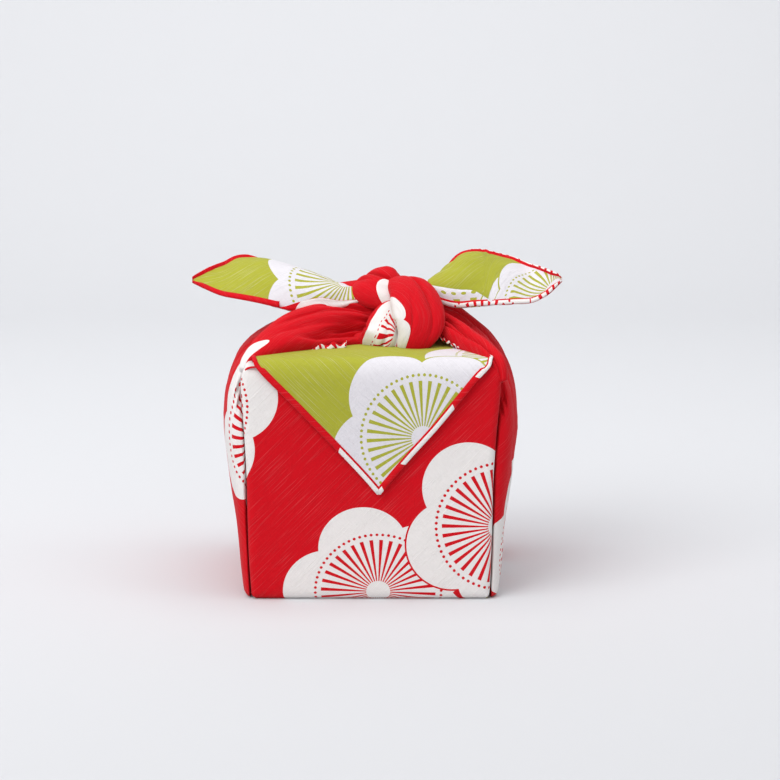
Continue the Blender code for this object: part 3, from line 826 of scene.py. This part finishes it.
# front_y and front_z are the leaf's front edge, and width is the way over it to its back edge.
# front and back are its slopes at both edges, lip is how high the front edge stands folded up,
# and pleat is how far back from the edge a pinched pleat lies.
LEAF_COLUMNS = ("x", "front_y", "front_z", "width", "front", "back", "lip", "pleat")
LEFT_LEAF = (
    (-2.0, -7.0, 139.0, 17.0, 100.0, -120.0, 0.8, 0.0),
    (-9.0, -8.5, 137.4, 22.0, 99.0, -112.0, 1.8, 0.0),
    (-16.0, -11.0, 135.2, 34.0, 94.0, -94.0, 4.0, 0.0),
    (-25.5, -13.0, 133.8, 45.0, 88.0, -72.0, 7.0, 0.0),
    (-35.5, -14.0, 133.6, 54.0, 84.0, -62.0, 5.2, 0.0),
    (-45.0, -14.5, 136.0, 56.0, 76.0, -52.0, 0.3, 0.0),
    (-56.0, -13.5, 138.4, 51.0, 68.0, -32.0, 0.0, 0.0),
    (-66.0, -11.5, 140.0, 42.0, 52.0, -6.0, 0.0, 0.0),
    (-74.0, -8.5, 141.3, 29.0, 40.0, 10.0, 0.0, 0.0),
    (-82.0, -4.0, 143.9, 15.0, 40.0, 20.0, 0.0, 0.0),
    (-88.8, 0.0, 146.6, 2.4, 38.0, 30.0, 0.0, 0.0),
)
RIGHT_LEAF = (
    (28.0, -7.0, 140.0, 22.0, 100.0, -110.0, 0.0, 6.0),
    (36.0, -10.0, 137.0, 37.0, 104.0, -64.0, 0.0, 8.0),
    (43.0, -11.5, 135.8, 40.0, 98.0, -22.0, 0.0, 8.5),
    (51.0, -12.5, 136.4, 44.0, 82.0, -12.0, 0.0, 7.0),
    (60.0, -12.5, 137.0, 44.0, 65.5, -6.0, 0.0, 1.5),
    (70.0, -11.0, 137.5, 41.0, 53.0, 0.0, 0.0, 0.0),
    (79.0, -8.5, 137.8, 31.0, 46.0, 12.0, 0.0, 0.0),
    (86.5, -5.0, 141.0, 17.0, 52.0, 28.0, 0.0, 0.0),
    (94.0, -1.5, 147.4, 2.4, 56.0, 46.0, 0.0, 0.0),
)
# A lip bulges forward as it folds up. A pleat hides some of the cloth, and one that is less
# deep than PLEAT_WHOLE fades out.
LIP_STEPS = 7
LIP_BULGE = 2.0
PLEAT_STEPS = 8
PLEAT_WHOLE = 4.0
PLEAT_HIDDEN = 26.0
PLEAT_THICK = 2.6
# The pleat's hidden turn, as (back, down) from its front.
PLEAT_TURN = ((0.7, 0.2), (1.3, 1.6), (1.6, 2.8), (2.1, 2.8), (2.5, 1.4))
LEAF_ACROSS = 40


def leaf_section(row):
    """One line across a leaf from its lip to its back, and each point's place on the print."""
    x, y, z, width = (row[key] for key in ("x", "front_y", "front_z", "width"))
    lip, pleat = max(row["lip"], 0.0), max(row["pleat"], 0.0)
    line, arc = [], []
    for step in range(LIP_STEPS):
        share = 1 - step / LIP_STEPS
        proud = min(lip, LIP_BULGE) * math.sin(0.75 * math.pi * min(1.0, share + 0.25))
        line.append((x, y - proud, z + lip * share))
        arc.append(-lip * share)
    start = math.radians(row["front"])
    bend = math.radians(row["back"] - row["front"]) / width
    fade = min(1.0, pleat / PLEAT_WHOLE)
    for step in range(LEAF_ACROSS + 1):
        if step <= PLEAT_STEPS:
            along, behind = pleat * step / PLEAT_STEPS, 0.0
        else:
            share = (step - PLEAT_STEPS) / (LEAF_ACROSS - PLEAT_STEPS)
            along, behind = pleat + (width - pleat) * share, 1.0
        if step == PLEAT_STEPS + 1:
            for back, down in PLEAT_TURN:
                line.append((x, line_y + back * fade, line_z - down * fade))
                arc.append(pleat + PLEAT_HIDDEN * fade * back / PLEAT_THICK)
        turn = start + bend * along
        line_y = y + (math.sin(turn) - math.sin(start)) / bend + PLEAT_THICK * fade * behind
        line_z = z - (math.cos(turn) - math.cos(start)) / bend
        line.append((x, line_y, line_z))
        arc.append(along + PLEAT_HIDDEN * fade * behind)
    return line, [(x, a) for a in arc]


LEAF_STEPS = 6
LEAF_THICK = 0.9
# The rumples run slantwise along the leaf, and calm down away from the knot.
LEAF_RUMPLE = 1.3
RUMPLE_LENGTH = 24.0
RUMPLE_WIDTH = 6.5
RUMPLE_SLANTS = (30.0, 40.0)
RUMPLE_SEED = 3.0
CALM_LENGTH = 55.0


def leaf(name, rows, inner, outer, hem_print):
    """A free corner of the cloth: a thin sheet that arches from its front edge to its back."""
    table = smooth_rows(rows, LEAF_STEPS)
    widths, lips = table[:, 3], np.maximum(table[:, 6], 0.0)
    sections = [leaf_section(dict(zip(LEAF_COLUMNS, values))) for values in table]
    grid = np.array([line for line, _ in sections])
    places = np.array([place for _, place in sections])
    normals = unit(np.cross(np.gradient(grid, axis=1) + 1e-9, np.gradient(grid, axis=0)))
    from_knot = np.abs(table[:, 0] - rows[0][0])
    heights = LEAF_RUMPLE * np.clip(1.2 - from_knot / CALM_LENGTH, 0.25, 1.0)
    for row, column in np.ndindex(grid.shape[:2]):
        x, arc = places[row, column]
        along = x / RUMPLE_LENGTH + arc / RUMPLE_SLANTS[0]
        across = arc / RUMPLE_WIDTH - x / RUMPLE_SLANTS[1]
        rumple = noise.noise(Vector((along, across, RUMPLE_SEED)))
        grid[row, column] += normals[row, column] * rumple * heights[row]
    if rows[0][0] < rows[-1][0]:
        grid, places, widths, lips = (part[::-1] for part in (grid, places, widths, lips))
    item = cloth_mesh(name, grid, places, [inner, outer, plain_print])
    merge_points(item, 0.02)
    thicken(item, LEAF_THICK, 0.0, 2)
    # The front hem ends where the lip rises. The back hem is fatter, and each looks inward to a
    # point of the leaf about its own width away.
    for column, side, fat, shown in ((0, -1, 1.0, lips < 0.6), (-1, 1, 2.2, lips >= 0)):
        edge = grid[shown, column]
        ring = grid[shown] if column == 0 else grid[shown, ::-1]
        away = np.linalg.norm(ring - edge[:, None], axis=2)
        beside = np.argmax(away > np.minimum(2.5, widths[shown] * 0.6)[:, None], axis=1)
        inward = unit(ring[np.arange(len(ring)), beside] - edge)
        outward = side * unit(np.cross(unit(np.gradient(edge, axis=0)), inward))
        narrower = np.clip(widths[shown] / 12, 0.4, 1.0)
        strip = hem(f"{name}_hem", edge, inward, outward, hem_print, narrower, fat, lift=0.4)
        join(item, strip)
    return item


# A leaf's upper side is green, and its edges cut its blossoms. Its underside is red, with one
# blossom. The right leaf's hem crosses the stamens of blossoms of its own.
left_leaf_print = green_side("left_leaf_slub_cotton", (-11.0, 16.0, 218, 1.0, 1.0))
right_leaf_print = green_side(
    "right_leaf_slub_cotton", (50.0, -22.5, 90, 1.8, 1.0), (89.0, 0.0, 190, 0.82, 0.82)
)
leaf_back_print = red_side("leaf_back_slub_cotton", (-11.0, 30.0, 180, 1.0, 1.0))
tip_hem_print = red_side(
    "tip_hem_slub_cotton",
    (-20.5, 2.0, 10, 1.0, 1.0),
    (-22.5, 44.0, 52, 1.0, 0.8),
    (36.0, 108.0, 36, 1.0, 0.2),
)
left_leaf = leaf("left_leaf", LEFT_LEAF, left_leaf_print, leaf_back_print, plain_print)
right_leaf = leaf("right_leaf", RIGHT_LEAF, right_leaf_print, leaf_back_print, tip_hem_print)
for item in (left_leaf, right_leaf):
    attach(item, "root")
    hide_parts("furoshiki_cloth")

# ---------------------------------------------------------------------------------------------
# The studio: a sheet of pale paper that sweeps up from the floor into the wall, three soft
# boxes, and the camera a little above the parcel.

FLOOR_NEAR = -2500
FLOOR_FAR = 900
SWEEP_RADIUS = 700
SWEEP_STEPS = 12
WALL_TOP = 4000
PAPER_SIDE = 4000
floor_mesh = bpy.data.meshes.new("studio_floor")
profile = [(FLOOR_NEAR, 0), (FLOOR_FAR, 0)]
for step in range(1, SWEEP_STEPS + 1):
    turn = math.radians(90 * step / SWEEP_STEPS)
    rise = SWEEP_RADIUS * (1 - math.cos(turn))
    profile.append((FLOOR_FAR + SWEEP_RADIUS * math.sin(turn), rise))
profile.append((FLOOR_FAR + SWEEP_RADIUS, WALL_TOP))
corners = [(x * MM, y * MM, z * MM) for y, z in profile for x in (-PAPER_SIDE, PAPER_SIDE)]
faces = [(i, i + 1, i + 3, i + 2) for i in range(0, len(corners) - 2, 2)]
floor_mesh.from_pydata(corners, [], faces)
floor_mesh.shade_smooth()
floor = bpy.data.objects.new("studio_floor", floor_mesh)
bpy.context.scene.collection.objects.link(floor)
# Uncoated paper: an even pale grey, with no shine.
paper = bpy.data.materials.new("matt_studio_paper")
paper.use_nodes = True
paper_shader = paper.node_tree.nodes["Principled BSDF"]
paper_shader.inputs["Base Color"].default_value = linear("#d4d5d8")
paper_shader.inputs["Roughness"].default_value = 0.9
floor_mesh.materials.append(paper)

# Square soft boxes, as (name, place, target, side, watts), with the lengths in metres.
PARCEL_MIDDLE = (0.0, 0.0, 0.06)
SOFT_BOXES = (
    ("key_light", (-1.1, -1.2, 1.5), PARCEL_MIDDLE, 1.4, 24.5),
    ("front_light", (0.5, -2.2, 0.9), PARCEL_MIDDLE, 1.6, 5.0),
    ("wall_light", (0.0, 0.2, 1.6), (0.0, 1.6, 0.5), 1.6, 18.0),
)
for name, place, target, side, watts in SOFT_BOXES:
    lamp = bpy.data.lights.new(name, "AREA")
    lamp.shape = "SQUARE"
    lamp.size = side
    lamp.energy = watts
    item = bpy.data.objects.new(name, lamp)
    item.location = place
    item.rotation_euler = (Vector(target) - Vector(place)).to_track_quat("-Z", "Y").to_euler()
    bpy.context.scene.collection.objects.link(item)
world = bpy.data.worlds.new("studio_air")
world.use_nodes = True
world.node_tree.nodes["Background"].inputs["Color"].default_value = linear("#fbfbfc")
world.node_tree.nodes["Background"].inputs["Strength"].default_value = 0.56
bpy.context.scene.world = world

CAMERA_PLACE = (9.07, -1132.82, 292.22)
CAMERA_DROP = 10
camera_data = bpy.data.cameras.new("camera")
camera_data.lens = 106.4
camera_data.sensor_width = 36.0
camera_data.clip_end = 20
camera = bpy.data.objects.new("camera", camera_data)
camera.location = [length * MM for length in CAMERA_PLACE]
camera.rotation_euler = (math.radians(90 - CAMERA_DROP), 0, 0)
bpy.context.scene.collection.objects.link(camera)
bpy.context.scene.camera = camera
bpy.context.scene.view_settings.view_transform = "Standard"
